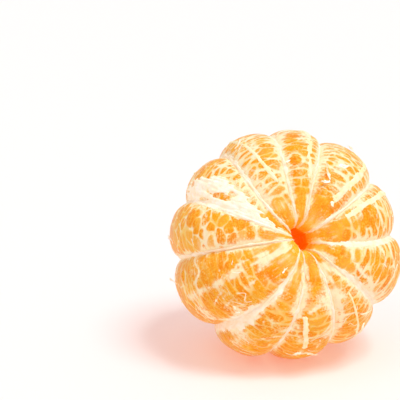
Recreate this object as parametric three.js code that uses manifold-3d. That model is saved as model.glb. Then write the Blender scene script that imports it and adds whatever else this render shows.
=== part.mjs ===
// A peeled mandarin lying on its side: eleven juice segments round an open core, and the
// white pith web that lies in the grooves between them and clings to their backs.
// Millimetres, +Z up. The origin is on the surface that the fruit lies on, under its middle.

import * as THREE from 'three';
import { mergeVertices } from 'three/addons/utils/BufferGeometryUtils.js';
import Module from 'manifold-3d';

const wasm = await Module();
wasm.setup();

// ---- driving dimensions ----------------------------------------------------------------

const AXIS_TILT = 19;          // the open end of the core looks up by this, in degrees
const REST_HEIGHT = 28.0;      // height of the fruit's middle above the surface it lies on
const CREST_RADIUS = 11;       // distance from the core's axis to the crest of each end
const FAR_END_SHARE = 0.95;    // the stem end stands out this much of the open end's rise
const BACK_ROUNDNESS = 2.2;    // exponent of the curve from the crest to the outermost point
const NOSE_ROUNDNESS = 4.6;    // exponent of the curve from the crest into the core
const BACK_CROWN = 0.17;       // how far the back falls to its shoulders, per half width
const SHOULDER_DROP = 0.36;    // how far a shoulder falls to the side wall, per half width
const SHOULDER_ROUNDNESS = 3.5; // exponent of the shoulder's curve
const SEGMENT_GAP = 0.32;      // clear space between two neighbouring side walls
const GROOVE_CORE_RADIUS = 3;  // where a groove has its core angle
const GROOVE_RIM_RADIUS = 26;  // where a groove has its rim angle
const PITH_CLEARANCE = 0.22;   // clear space between the pith and the segments' backs
const FLOOR_CLEARANCE = 0.2;   // clear space between the pith and the surface under the fruit

const STEPS_BACK = 8;          // mesh steps over the back, from side wall to side wall
const STEPS_WALL = 1;          // mesh steps down a side wall to the segment's heart
const STEPS_OUTER = 16;        // mesh steps round the outer half of a segment's side view
const STEPS_INNER = 10;        // mesh steps round its inner half

// Clockwise from the top, seen from the open end. rim and core are the angles in degrees of
// the groove before the segment, at the rim and at the core. reach is the radius of the
// back, nose the radius of the thin edge at the core, and rise the height of the open end.
const SEGMENTS = [
  { rim: -7.6, core: -17, reach: 28.6, nose: 3.0, rise: 22.3 },
  { rim: 19, core: 9, reach: 28.4, nose: 2.3, rise: 22.6 },
  { rim: 56, core: 58, reach: 28.0, nose: 2.1, rise: 22.2 },
  { rim: 89, core: 106, reach: 29.6, nose: 2.4, rise: 22.8 },
  { rim: 130, core: 136, reach: 29.1, nose: 4.0, rise: 22.0 },
  { rim: 162, core: 153, reach: 29.3, nose: 4.4, rise: 22.4 },
  { rim: 192.5, core: 180, reach: 30.0, nose: 3.8, rise: 22.0 },
  { rim: 222, core: 197, reach: 29.8, nose: 1.8, rise: 23.0 },
  { rim: 264.5, core: 266, reach: 29.1, nose: 2.6, rise: 22.2 },
  { rim: 295, core: 287, reach: 28.7, nose: 3.1, rise: 22.0 },
  { rim: 325.5, core: 305, reach: 29.0, nose: 3.1, rise: 22.5 },
];

// Half width and half thickness of the kinds of pith strand, and the sides of their section.
const GROOVE_STRAND = { wide: 0.5, thick: 0.45, sides: 6 };
const BROAD_STRAND = { wide: 0.95, thick: 0.5, sides: 6 };
const BACK_STRAND = { wide: 0.5, thick: 0.32, sides: 6 };
const LINK_STRAND = { wide: 0.3, thick: 0.28, sides: 5 };
const STRAND_STEP = 12;        // degrees round the side view between two rings of a strand
const STRAND_REACH = 100;      // degrees round the side view that a groove's strand reaches
const STRAND_LIFT = 0.08;      // extra height over a back, for the flat facets between two rings
const TORN_END = 0.6;          // a strand's torn end is drawn thin to this share of its section
const SETTLE_PASSES = 4;       // rounds of finding the segment, then the radius, under a strand
const SHOULDER_SPAN = 60;      // the part of the back, from its side wall, that a strand may touch
const SHOULDER_STEPS = 30;     // places tried there
const BROAD_GROOVE = 7;        // the groove with the broad strand, named by the segment after it

// Strands that run up the back of a segment. Each stop is [degrees round the side view from
// the outermost point, positive toward the open end; degrees round the core].
const BACK_STRANDS = [
  [[-96, 3], [-45, 6], [0, 8], [56, 9], [82, 9]],
  [[-96, 36], [-45, 37], [10, 37], [56, 42], [78, 43], [95, 40]],
  [[-96, 78], [-45, 71], [0, 67], [43, 66], [72, 67], [94, 72]],
  [[-96, 114], [-45, 111], [10, 117], [50, 123], [72, 122], [86, 113]],
  [[-96, 145], [-45, 147], [20, 149], [56, 148], [73, 145]],
  [[-96, 168], [-82, 170], [-66, 172]],
  [[-96, 196], [-65, 202], [-48, 205]],
  [[-96, 233], [-45, 240], [20, 244], [51, 246], [70, 248]],
  [[-96, 278], [-50, 281], [-18, 280]],
  [[-96, 301], [-45, 308], [0, 311]],
  [[-96, 330], [-45, 334], [20, 333], [55, 334], [80, 338]],
];

// The strand on the front of the lowest segment: it stops short of the resting spot.
const FRONT_STRAND = [[32, 178], [50, 178.5], [70, 180]];

// Thin strands that cross a back from its own strand to a groove. The groove is named by
// the segment that follows it.
const LINKS = [
  { groove: 0, at: 40, stops: [[52, 9], [48, 2], [43, -4]] },
  { groove: 2, at: 62, stops: [[70, 43], [67, 49]] },
  { groove: 3, at: 58, stops: [[66, 67], [63, 78], [60, 86]] },
  { groove: 5, at: 48, stops: [[58, 148], [52, 155]] },
  { groove: 5, at: 68, stops: [[66, 179], [69, 168], [69, 162]] },
  { groove: 8, at: 36, stops: [[44, 246], [40, 255]] },
  { groove: 10, at: 22, stops: [[30, 333], [25, 329]] },
  { groove: 1, at: -40, stops: [[-30, 6], [-36, 14]] },
  { groove: 3, at: -44, stops: [[-34, 70], [-40, 79], [-43, 85]] },
  { groove: 7, at: -52, stops: [[-62, 236], [-57, 230]] },
  { groove: 9, at: -38, stops: [[-30, 280], [-35, 288]] },
  { groove: 10, at: -34, stops: [[-44, 308], [-39, 316]] },
];

// The broad patch of pith that stayed on the tenth segment: where it lies between the side
// walls (-1 to 1) and round the side view, and its thickness.
const PATCH = { segment: 9, left: -0.9, right: 0.5, from: 4, to: 88, thick: 0.55 };
const PATCH_TEAR = { depth: 0.16, turn: 2.3 };   // waves of its torn edge
const PATCH_STEPS = { across: 5, along: 11 };

// The pad of pith at the stem end, as radius and distance below the fruit's middle.
const PAD_PROFILE = [
  [0, 23.6], [3, 23.45], [5.2, 22.95], [7.4, 22.2], [7.2, 21.7], [4, 21.9], [0, 22.1],
];
const PAD_SIDES = 20;
const PAD_ROOT = { radius: 5.6, depth: 22.6 };   // the ring in the pad that strands grow from

const SEGMENT_LOOK = { color: '#f2a04a', roughness: 0.42, metalness: 0 };
const PITH_LOOK = { color: '#f8ebc8', roughness: 0.85, metalness: 0 };

// ---- the fruit's own frame: x right, y up, z along the core toward the open end ------------

const radians = THREE.MathUtils.degToRad;
const DOWN = new THREE.Vector3(0, -Math.cos(radians(AXIS_TILT)), -Math.sin(radians(AXIS_TILT)));

function fruitPoint(radius, angle, height) {
  const turn = radians(angle);
  return new THREE.Vector3(radius * Math.sin(turn), radius * Math.cos(turn), height);
}

// A groove swings from its core angle to its rim angle as it goes outward.
function grooveAngle(index, radius) {
  const turns = Math.floor(index / SEGMENTS.length);
  const segment = SEGMENTS[index - turns * SEGMENTS.length];
  const share = (radius - GROOVE_CORE_RADIUS) / (GROOVE_RIM_RADIUS - GROOVE_CORE_RADIUS);
  const angle = THREE.MathUtils.lerp(segment.core, segment.rim, THREE.MathUtils.clamp(share, 0, 1));
  return angle + 360 * turns;
}

// The middle angle of a segment at a radius, and the half angle from there to its side wall.
function spread(index, radius) {
  const before = grooveAngle(index, radius);
  const after = grooveAngle(index + 1, radius);
  const gap = THREE.MathUtils.radToDeg(SEGMENT_GAP / 2 / radius);
  return { middle: (before + after) / 2, half: (after - before) / 2 - gap };
}

// Side view of a segment through its middle: two quarter curves outside the crest, two inside.
function sideView(index, around) {
  const segment = SEGMENTS[index];
  const x = Math.cos(radians(around));
  const y = Math.sin(radians(around));
  const roundness = x > 0 ? BACK_ROUNDNESS : NOSE_ROUNDNESS;
  const depth = x > 0 ? segment.reach - CREST_RADIUS : CREST_RADIUS - segment.nose;
  const rise = y > 0 ? segment.rise : segment.rise * FAR_END_SHARE;
  const share = (Math.abs(x) ** roundness + Math.abs(y) ** roundness) ** (-1 / roundness);
  return { radius: CREST_RADIUS + depth * share * x, height: rise * share * y };
}

// How far the back lies below its middle line: a crown, then a shoulder into the side wall.
function backDrop(index, around, across) {
  const { radius } = sideView(index, around);
  const halfWidth = radius * radians(spread(index, radius).half);
  const shoulder = 1 - (1 - Math.abs(across) ** SHOULDER_ROUNDNESS) ** (1 / SHOULDER_ROUNDNESS);
  return halfWidth * (BACK_CROWN * across * across + SHOULDER_DROP * shoulder);
}

// A point of a segment: around its side view, across it from wall (-1) to wall (1), and out
// from its heart (0) to its back (1).
function segmentPoint(index, around, across, out = 1) {
  const rim = sideView(index, around);
  const reach = Math.hypot(rim.radius - CREST_RADIUS, rim.height);
  const share = out * (1 - backDrop(index, around, across) / reach);
  const radius = CREST_RADIUS + (rim.radius - CREST_RADIUS) * share;
  const { middle, half } = spread(index, radius);
  return fruitPoint(radius, middle + half * across, rim.height * share);
}

// Keeps a point at least so far above the surface that the fruit lies on.
function keepAbove(point, clearance) {
  const below = point.dot(DOWN) - REST_HEIGHT + clearance;
  if (below > 0) point.addScaledVector(DOWN, -below);
  return point;
}

// ---- meshes ----------------------------------------------------------------------------------

function meshGeometry(points, faces) {
  const geometry = new THREE.BufferGeometry();
  const coordinates = points.flatMap((point) => point.toArray());
  geometry.setAttribute('position', new THREE.Float32BufferAttribute(coordinates, 3));
  geometry.setIndex(faces.flat());
  return geometry;
}

// Rings of equal length, one after another, closed at both ends by a single point.
function ringGeometry(start, rings, end) {
  const count = rings[0].length;
  const points = [start, ...rings.flat(), end];
  const last = points.length - 1;
  const faces = [];
  for (let k = 0; k < count; k++) {
    const next = (k + 1) % count;
    faces.push([0, 1 + next, 1 + k]);
    faces.push([last, last - count + k, last - count + next]);
    for (let r = 0; r < rings.length - 1; r++) {
      const a = 1 + r * count + k;
      const b = 1 + r * count + next;
      faces.push([a, b, b + count], [a, b + count, a + count]);
    }
  }
  return meshGeometry(points, faces);
}

function aroundSteps() {
  const outer = Array.from({ length: STEPS_OUTER }, (_, k) => -90 + 180 * k / STEPS_OUTER);
  const inner = Array.from({ length: STEPS_INNER }, (_, k) => 90 + 180 * k / STEPS_INNER);
  return [...outer, ...inner];
}

// Down one side wall, over the back and down the other wall.
function sectionPlaces() {
  const down = Array.from({ length: STEPS_WALL }, (_, k) => (k + 1) / (STEPS_WALL + 1));
  const turns = Array.from({ length: STEPS_BACK + 1 }, (_, k) => -90 + 180 * k / STEPS_BACK);
  const over = turns.map((turn) => Math.sin(radians(turn)));
  return [
    ...down.map((out) => ({ across: -1, out })),
    ...over.map((across) => ({ across, out: 1 })),
    ...down.reverse().map((out) => ({ across: 1, out })),
  ];
}

function segmentGeometry(index) {
  const rings = sectionPlaces().map(({ across, out }) => (
    aroundSteps().map((around) => keepAbove(segmentPoint(index, around, across, out), 0))
  ));
  return ringGeometry(segmentPoint(index, 0, -1, 0), rings, segmentPoint(index, 0, 1, 0));
}

// ---- pith ------------------------------------------------------------------------------------

// The way straight out of the fruit at a point on its skin.
function outward(point) {
  const radius = Math.hypot(point.x, point.y);
  const away = new THREE.Vector3(point.x, point.y, 0).multiplyScalar((radius - CREST_RADIUS) / radius);
  return away.setZ(point.z).normalize();
}

function segmentAt(angle, radius) {
  let index = SEGMENTS.length;
  while (angle < grooveAngle(index, radius)) index--;
  return index;
}

// A point that lies on the backs at an angle round the core, lifted off them.
function laidPoint(around, angle, lift) {
  let radius = sideView(0, around).radius;
  let point;
  for (let pass = 0; pass < SETTLE_PASSES; pass++) {
    const index = segmentAt(angle, radius);
    const { middle, half } = spread(index, radius);
    const across = THREE.MathUtils.clamp((angle - middle) / half, -1, 1);
    point = segmentPoint((index + SEGMENTS.length) % SEGMENTS.length, around, across);
    radius = Math.hypot(point.x, point.y);
  }
  const turned = fruitPoint(radius, angle, point.z);
  return turned.addScaledVector(outward(turned), lift);
}

// The lowest place over the groove before a segment where a strand clears both shoulders.
function groovePoint(index, around, kind) {
  const before = (index + SEGMENTS.length - 1) % SEGMENTS.length;
  const room = kind.wide + PITH_CLEARANCE;
  let settled = new THREE.Vector3();
  let settledReach = 0;
  for (const [segment, side] of [[index, -1], [before, 1]]) {
    for (let step = 0; step <= SHOULDER_STEPS; step++) {
      const across = side * Math.cos(radians(SHOULDER_SPAN * step / SHOULDER_STEPS));
      const shoulder = segmentPoint(segment, around, across);
      const radius = Math.hypot(shoulder.x, shoulder.y);
      const fromWall = radians(spread(segment, radius).half) * (1 - Math.abs(across));
      const aside = radius * fromWall + SEGMENT_GAP / 2;
      const over = fruitPoint(radius, grooveAngle(index, radius), shoulder.z);
      const stand = kind.thick * Math.sqrt(Math.max(0, 1 - (aside / room) ** 2)) + PITH_CLEARANCE;
      over.addScaledVector(outward(over), stand);
      const reach = Math.hypot(Math.hypot(over.x, over.y) - CREST_RADIUS, over.z);
      if (aside < room && reach > settledReach) {
        settled = over;
        settledReach = reach;
      }
    }
  }
  return keepAbove(settled, kind.thick + FLOOR_CLEARANCE);
}

// A strand of oval section carried along its stations, drawn thin at the torn end.
function strandGeometry(stations, kind, tornEnd = true) {
  const rings = stations.map((at, k) => {
    const ahead = stations[Math.min(k + 1, stations.length - 1)];
    const behind = stations[Math.max(k - 1, 0)];
    const along = ahead.clone().sub(behind).normalize();
    const side = outward(at).cross(along).normalize();
    const up = along.clone().cross(side);
    const thin = tornEnd && k === stations.length - 1 ? TORN_END : 1;
    return Array.from({ length: kind.sides }, (_, s) => {
      const turn = 2 * Math.PI * s / kind.sides;
      const point = at.clone().addScaledVector(side, thin * kind.wide * Math.cos(turn));
      return point.addScaledVector(up, thin * kind.thick * Math.sin(turn));
    });
  });
  return ringGeometry(stations[0], rings, stations[stations.length - 1]);
}

function evenSteps(from, to, step) {
  const count = Math.max(2, Math.round(Math.abs(to - from) / step));
  return Array.from({ length: count + 1 }, (_, k) => from + (to - from) * k / count);
}

// The stops of a route, as places [around, angle], joined by a smooth line.
function smoothRoute(stops, step) {
  const line = new THREE.SplineCurve(stops.map(([around, angle]) => new THREE.Vector2(around, angle)));
  const length = Math.abs(stops[stops.length - 1][0] - stops[0][0]);
  return line.getPoints(Math.max(2, Math.round(length / step)));
}

// Where a strand grows out of the pad at the stem end.
function rootPoint(angle) {
  return fruitPoint(PAD_ROOT.radius, angle, -PAD_ROOT.depth);
}

function grooveStrand(index) {
  const kind = index === BROAD_GROOVE ? BROAD_STRAND : GROOVE_STRAND;
  const root = rootPoint(grooveAngle(index, CREST_RADIUS));
  const around = evenSteps(-STRAND_REACH, STRAND_REACH, STRAND_STEP);
  return strandGeometry([root, ...around.map((place) => groovePoint(index, place, kind))], kind);
}

function laidStrand(stops) {
  const lift = PITH_CLEARANCE + BACK_STRAND.thick + STRAND_LIFT;
  return smoothRoute(stops, STRAND_STEP).map((place) => laidPoint(place.x, place.y, lift));
}

function backStrand(stops) {
  return strandGeometry([rootPoint(stops[0][1]), ...laidStrand(stops)], BACK_STRAND);
}

function linkStrand({ groove, at, stops }) {
  const lift = PITH_CLEARANCE + LINK_STRAND.thick + STRAND_LIFT;
  const stations = stops.map(([around, angle]) => laidPoint(around, angle, lift));
  stations.push(groovePoint(groove, at, groove === BROAD_GROOVE ? BROAD_STRAND : GROOVE_STRAND));
  return strandGeometry(stations, LINK_STRAND, false);
}

// A place on the patch: its left edge hangs on the groove's strand, the rest lies on the back.
function patchPoint(row, column, height) {
  const around = THREE.MathUtils.lerp(PATCH.from, PATCH.to, row / PATCH_STEPS.along);
  if (column === 0) {
    const edge = groovePoint(PATCH.segment, around, GROOVE_STRAND);
    return edge.addScaledVector(outward(edge), height - PATCH.thick / 2);
  }
  const share = column / PATCH_STEPS.across;
  const tear = PATCH_TEAR.depth * Math.sin(PATCH_TEAR.turn * row) * share;
  const across = THREE.MathUtils.lerp(PATCH.left, PATCH.right, share) + tear;
  const point = segmentPoint(PATCH.segment, around, across);
  return point.addScaledVector(outward(point), PITH_CLEARANCE + STRAND_LIFT + height);
}

// The patch is a thin sheet: a lower skin just clear of the back, and an upper one above it.
function patchGeometry() {
  const rings = [];
  for (let row = 0; row <= PATCH_STEPS.along; row++) {
    const columns = Array.from({ length: PATCH_STEPS.across + 1 }, (_, k) => k);
    const under = columns.map((column) => patchPoint(row, column, 0));
    const over = columns.map((column) => patchPoint(row, column, PATCH.thick));
    rings.push([...under, ...over.reverse()]);
  }
  const end = (row) => patchPoint(row, PATCH_STEPS.across / 2, PATCH.thick / 2);
  return ringGeometry(end(0), rings, end(PATCH_STEPS.along));
}

function padGeometry() {
  const profile = PAD_PROFILE.map(([radius, depth]) => new THREE.Vector2(radius, -depth));
  const lathe = new THREE.LatheGeometry(profile, PAD_SIDES);
  lathe.deleteAttribute('normal');
  lathe.deleteAttribute('uv');
  return mergeVertices(lathe.rotateX(Math.PI / 2));
}

function toSolid(geometry) {
  const vertProperties = new Float32Array(geometry.attributes.position.array);
  const triVerts = new Uint32Array(geometry.index.array);
  return new wasm.Manifold(new wasm.Mesh({ numProp: 3, vertProperties, triVerts }));
}

function fromSolid(solid) {
  const { vertProperties, triVerts } = solid.getMesh();
  const geometry = new THREE.BufferGeometry();
  geometry.setAttribute('position', new THREE.BufferAttribute(vertProperties, 3));
  geometry.setIndex(new THREE.BufferAttribute(triVerts, 1));
  return geometry;
}

function pithGeometry() {
  const frontStrand = strandGeometry(laidStrand(FRONT_STRAND), BACK_STRAND);
  const pieces = [padGeometry(), patchGeometry(), frontStrand];
  for (let index = 0; index < SEGMENTS.length; index++) {
    pieces.push(grooveStrand(index));
    pieces.push(backStrand(BACK_STRANDS[index]));
  }
  for (const link of LINKS) pieces.push(linkStrand(link));
  return fromSolid(pieces.map(toSolid).reduce((joined, piece) => joined.add(piece)));
}

// ---- the fruit -------------------------------------------------------------------------------

function namedMesh(name, geometry, look) {
  const mesh = new THREE.Mesh(geometry, new THREE.MeshStandardMaterial(look));
  mesh.name = name;
  return mesh;
}

const fruit = new THREE.Group();
for (let index = 0; index < SEGMENTS.length; index++) {
  const name = `segment_${String(index + 1).padStart(2, '0')}`;
  fruit.add(namedMesh(name, segmentGeometry(index), SEGMENT_LOOK));
}
fruit.add(namedMesh('pith_web', pithGeometry(), PITH_LOOK));
fruit.rotation.x = radians(90 - AXIS_TILT);

const group = new THREE.Group();
group.add(fruit);
group.updateMatrixWorld(true);
const box = new THREE.Box3().setFromObject(group, true);
group.position.set(-(box.min.x + box.max.x) / 2, -(box.min.y + box.max.y) / 2, -box.min.z);

export default group;
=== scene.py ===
"""A peeled mandarin lying on its side: juice segments round an open core, under a web of pith.

Shapes are worked out in millimetres in the fruit's own frame: x right, y up, and z along the
core toward its open end. They are turned and scaled into the part's frame as they are made.
A place on the fruit is [around, angle]: degrees round the side view, from the outermost point
toward the open end, and degrees round the core, clockwise from the top.
"""

import bpy
import numpy as np
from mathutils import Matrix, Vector


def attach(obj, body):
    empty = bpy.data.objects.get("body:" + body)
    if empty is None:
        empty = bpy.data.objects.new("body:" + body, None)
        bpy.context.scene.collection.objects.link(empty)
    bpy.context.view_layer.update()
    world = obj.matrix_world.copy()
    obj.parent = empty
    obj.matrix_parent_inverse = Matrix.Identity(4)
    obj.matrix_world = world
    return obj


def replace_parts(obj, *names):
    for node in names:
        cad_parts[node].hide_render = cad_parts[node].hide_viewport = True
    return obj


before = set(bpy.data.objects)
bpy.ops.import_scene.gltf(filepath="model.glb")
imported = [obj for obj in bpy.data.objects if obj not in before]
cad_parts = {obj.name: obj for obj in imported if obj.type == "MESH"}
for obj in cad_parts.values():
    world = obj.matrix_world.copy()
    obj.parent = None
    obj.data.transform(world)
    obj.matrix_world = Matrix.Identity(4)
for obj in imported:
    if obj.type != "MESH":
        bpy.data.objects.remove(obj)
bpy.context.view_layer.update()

# ---- juice segments --------------------------------------------------------------------------
# Eleven wedges stand round the open core, each a thin moist membrane packed with juice sacs.
# The sacs press against the back in rows and bulge a little, with paler membrane between them.
# They grew side by side and hold to each other by the pith in the grooves.

AXIS_TILT = np.radians(19.0)                 # the open end of the core looks up by this
MIDDLE = np.array([0.063, 0.483, 28.0])      # the fruit's middle, in the part's frame, in mm
CREST_RADIUS = 11.0                          # from the core's axis to the crest of each end
FAR_END_SHARE = 0.95                         # the stem end's rise over the open end's
BACK_ROUNDNESS, NOSE_ROUNDNESS = 2.2, 4.6    # exponents of the curves outside and inside the crest
BACK_CROWN, SHOULDER_DROP, SHOULDER_ROUNDNESS = 0.17, 0.36, 3.5
SEGMENT_GAP = 0.10                           # clear space between two side walls
GROOVE_CORE_RADIUS, GROOVE_RIM_RADIUS = 3.0, 26.0

# Clockwise from the top, seen from the open end: the angles in degrees of the groove before
# each segment at the rim and at the core, its back's radius, its nose's, its rise, the usual
# length of its sacs across the back and their width along it, how crisply they show, and how far
# out its streaks reach.
RIM, CORE, REACH, NOSE, RISE, SAC_LENGTH, SAC_WIDTH, CRISP, STREAKS = np.array([
    (-7.6, -17, 28.6, 2.9, 22.3, 5.6, 1.9, 0.95, 1.0),
    (19, 9, 28.4, 2.6, 22.6, 4.6, 1.9, 1.05, 1.0),
    (56, 58, 28.0, 2.8, 22.2, 5.6, 1.9, 1.00, 1.0),
    (89, 106, 29.6, 3.2, 22.8, 6.6, 1.9, 0.95, 1.0),
    (130, 136, 29.1, 3.1, 22.0, 5.0, 1.9, 0.75, 1.0),
    (162, 153, 29.3, 2.4, 22.4, 5.0, 1.9, 0.70, 1.0),
    (192.5, 180, 30.0, 1.8, 22.0, 4.8, 1.9, 0.60, 1.15),
    (222, 197, 29.8, 0.8, 23.0, 5.8, 1.9, 0.66, 1.25),
    (264.5, 266, 29.1, 1.0, 22.2, 3.9, 2.4, 1.30, 1.0),
    (295, 287, 28.7, 1.6, 22.0, 4.6, 1.9, 1.10, 1.0),
    (325.5, 305, 29.0, 2.6, 22.5, 5.0, 1.9, 1.10, 1.0),
]).T
COUNT = len(RIM)

BACK_STEPS, WALL_STEPS = 72, 7               # mesh steps over a back, and down one side wall
OUTER_STEPS, INNER_STEPS = 250, 84           # mesh steps round the outer and the inner half
BACK_BUNCHING = 72                           # degrees of arc that bunch a back's steps by its walls
WALL_FADE = 0.90                             # share of the half width where the relief fades

FAR_FROM, FAR_SHRINK = 20.0, 0.30            # nearer the stem, lengths count less: longer sacs
SAC_JITTER_ACROSS, SAC_JITTER_ALONG = 0.30, 0.36   # how far sacs stray, as shares of their sides
SAC_SHARPNESS = 4.5                          # how closely a sac's border keeps to its corners
SAC_BULGE = 0.16                             # how far a sac's middle stands over its border
SAC_LOWEST, SAC_SPREAD = 0.45, 0.8           # the lowest sac's share of that, and how much others add
SAC_SHOULDER = 0.55                          # width over which a sac's side rounds down
SAC_BORDER = 0.34                            # width over which the pale border clears
SAC_MILK = 0.35                              # how pale the palest sacs are
SPOT_TURN = 0.7                              # cosine of the turn past which a spot can't be near
FAT_HEIGHT, FAT_JUICE, FAT_BARE = 0.45, 2.5, 2.0   # most rise, more juice and less film on fat sacs
DIMPLE_DEPTH, DIMPLE_MOST = 0.10, 0.4        # the back dips round a fat sac
FRONT_FROM, FRONT_FULL = 13.0, 8.5           # radii where the sacs blur into streaks by the core
FRONT_PLACE = 30                             # and only past this place, toward the open end
FRONT_FILM, FRONT_STREAKS = 0.04, 0.5        # more film lies over them there, in streaks
STREAK_WIDE, STREAK_LONG = 0.4, 3.0          # size of the streaks in mm
LACE, LACE_FROM = 0.65, 0.7                  # film on the sacs' borders, by how crisp they are
RIM_FILM, RIM_DRY = 0.6, 0.8                 # more film and less juice round a fat sac
GROOVE_FILM, GROOVE_FADE = 0.40, 2.6         # film by the grooves, and the width in mm it fades over
DEEP_HEIGHTS, DEEP_TONE = (9, 2), 0.5        # heights along the core over which sacs turn redder

# Layers of noise, each an amount, a grain in mm and a seed.
SWELLS = [(0.10, 5.0, 15)]                               # slow swells of a back, in mm
ASIDE_WANDER = [(0.70, 2.6, 11), (0.24, 0.9, 13)]        # how sacs' borders stray across, in mm
ALONG_WANDER = [(0.45, 2.6, 12), (0.15, 0.9, 14)]        # and along
BORDER_WANDER = [(0.12, 1.3, 16), (0.26, 3.6, 18)]       # how their width varies, in mm
CRISP_WANDER = [(0.45, 7.0, 19)]                         # how crisply the sacs show
FRONT_MOTTLE = [(0.45, 2.6, 17)]                         # how juicy they are by the core
PATCHES = [(0.30, 5.0, 21), (0.22, 1.9, 22)]             # film in patches all over
RAGGED = [(0.5, 1.4, 23), (0.35, 0.7, 24)]               # how torn the film's spots are
TORN = [(0.6, 1.5, 25)]                                  # how torn the film by the grooves is
BROKEN = [(0.5, 1.6, 26)]                                # how broken the veins are

# Single fat sacs that stand out: place, radius and height in mm.
FAT_SACS = [
    (-20, 20, 1.8, 0.3), (12, 62, 1.8, 0.3), (-50, 70, 1.7, 0.25), (-15, 120, 1.9, 0.3),
    (-40, 150, 2.0, 0.3), (71, 152, 1.5, 0.22), (24, 178, 1.5, 0.25), (38, 201.5, 1.8, 0.28),
    (96, 212, 1.3, 0.25), (66, 253, 1.5, 0.25), (20, 255, 1.7, 0.42), (-32, 255, 1.8, 0.3),
    (36, 284.5, 3.0, 0.45), (-46, 318, 1.8, 0.28), (64, 358, 1.9, 0.42),
]

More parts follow.
